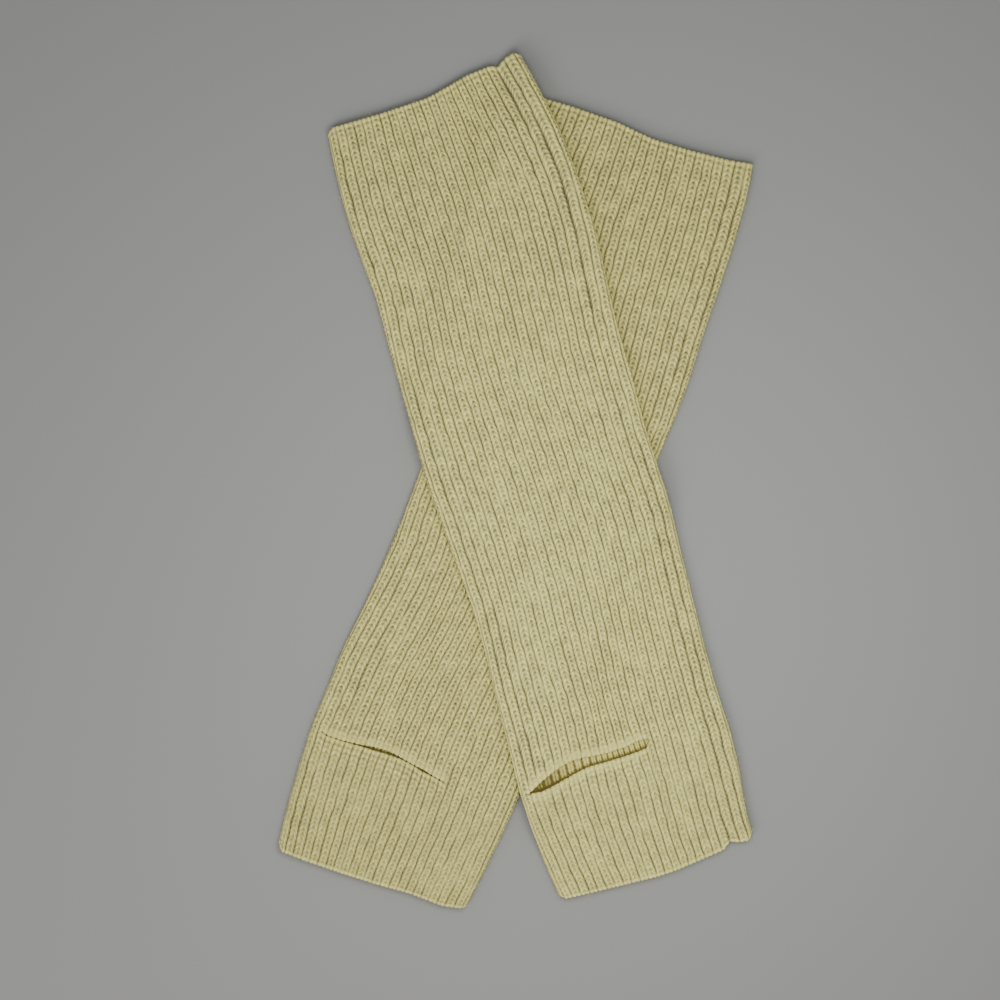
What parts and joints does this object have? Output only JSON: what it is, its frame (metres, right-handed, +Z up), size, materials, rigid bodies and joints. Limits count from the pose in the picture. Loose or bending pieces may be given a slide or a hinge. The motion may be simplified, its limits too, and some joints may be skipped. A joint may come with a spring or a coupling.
{
  "type": "pair of leg warmers",
  "caption": "Pair of rib-knit stirrup leg warmers, laid flat and crossed, each a flattened tube with a heel slit near its foot hem.",
  "frame": {"origin": "on the surface that the pair lies on, at the middle of its bounding box", "axes": "+X right and +Y towards the top hems, as seen from above; +Z up, away from the surface"},
  "size_m": [0.2647, 0.4758, 0.0128],
  "materials": {
    "upper_knit": "matte pale cream-yellow rib knit",
    "lower_knit": "matte pale cream-yellow rib knit"
  },
  "bodies": {
    "root": {"upper_front": "upper_knit", "upper_back": "upper_knit", "upper_front_heel": "upper_knit", "upper_back_heel": "upper_knit", "lower_front": "lower_knit", "lower_back": "lower_knit"}
  },
  "joints": []
}
